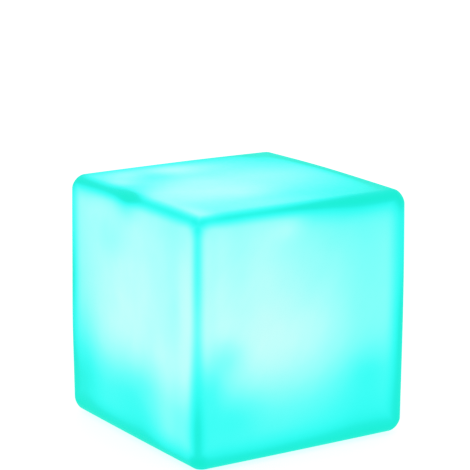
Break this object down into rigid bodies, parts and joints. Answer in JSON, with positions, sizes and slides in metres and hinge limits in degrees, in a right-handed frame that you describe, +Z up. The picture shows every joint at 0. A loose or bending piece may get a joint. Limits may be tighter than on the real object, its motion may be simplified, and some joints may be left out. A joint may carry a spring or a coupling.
{
  "type": "led cube light",
  "caption": "Free-standing glowing cube light: a seamless translucent plastic cube over a sealed rechargeable LED unit, with a push button and a covered charging port in the base.",
  "frame": {"origin": "centre of the base, on the plane that the feet stand on", "axes": "+Z up; -Y out of the front face, which is the wider face in the picture; -X out of the face seen to its left"},
  "size_m": [0.2, 0.2, 0.2015],
  "materials": {
    "lit_shell": "satin translucent polyethylene, lit cyan from inside",
    "brass_insert": "knurled, pressed in",
    "foot_rubber": "matt moulded rubber",
    "unit_plastic": "fine spark-eroded texture, off-white",
    "seal_silicone": "grey silicone",
    "screw_steel": "plain stainless",
    "diffuser_plastic": "frosted translucent polycarbonate",
    "white_board": "white solder mask",
    "led_package": "white ceramic-filled package with clear resin",
    "chip_black": "moulded epoxy",
    "green_board": "green solder mask",
    "ferrite": "pressed ferrite",
    "capacitor_can": "drawn aluminium can",
    "connector_plastic": "natural nylon",
    "clear_plastic": "clear polished polycarbonate",
    "socket_steel": "nickel-plated stamping",
    "cell_wrap": "shrunk PVC sleeve",
    "cradle_plastic": "black moulded ABS",
    "strap_plastic": "black nylon band",
    "lead_red": "red silicone insulation",
    "lead_black": "black silicone insulation",
    "plunger_plastic": "moulded acetal",
    "button_plastic": "light grey, fine satin",
    "oring_rubber": "black nitrile",
    "spring_steel": "bright spring steel",
    "flap_silicone": "soft light grey silicone"
  },
  "bodies": {
    "lamp_body": {"cube_shell": "lit_shell", "shell_inserts": "brass_insert", "rubber_feet": "foot_rubber", "unit_housing": "unit_plastic", "unit_wall": "unit_plastic", "board_posts": "unit_plastic", "port_insert": "unit_plastic", "flange_gasket": "seal_silicone", "flange_screws": "screw_steel", "dome_seal": "seal_silicone", "diffuser_dome": "diffuser_plastic", "dome_screws": "screw_steel", "led_board": "white_board", "led_board_screws": "screw_steel", "rgb_leds": "led_package", "ir_receiver": "chip_black", "control_board": "green_board", "control_board_screws": "screw_steel", "microcontroller": "chip_black", "charge_controller": "chip_black", "led_drivers": "chip_black", "inductor": "ferrite", "capacitor": "capacitor_can", "link_header": "connector_plastic", "battery_connector": "connector_plastic", "charge_led": "led_package", "indicator_light_pipe": "clear_plastic", "usb_socket": "socket_steel", "battery_cell": "cell_wrap", "battery_cradle": "cradle_plastic", "battery_strap": "strap_plastic", "battery_lead_red": "lead_red", "battery_lead_black": "lead_black", "push_switch": "chip_black", "button_spring": "spring_steel", "port_flap_anchor": "flap_silicone"},
    "power_button": {"power_button": "button_plastic", "button_seal": "oring_rubber", "button_clip": "spring_steel", "switch_plunger": "plunger_plastic"},
    "port_flap": {"port_flap": "flap_silicone"}
  },
  "joints": [
    {"name": "power_button_press", "type": "slide", "parent": "lamp_body", "child": "power_button", "axis": [0, 0, 1], "range_m": [0, 0.0015], "stiffness_N_per_m": 500, "springref_m": -0.002, "deforming": ["button_spring"]},
    {"name": "port_flap_hinge", "type": "hinge", "parent": "lamp_body", "child": "port_flap", "pos_m": [0, -0.03205, 0.0025], "axis": [-1, 0, 0], "range_deg": [0, 120], "stiffness_Nm_per_rad": 0.0004, "springref_deg": -22.92}
  ]
}
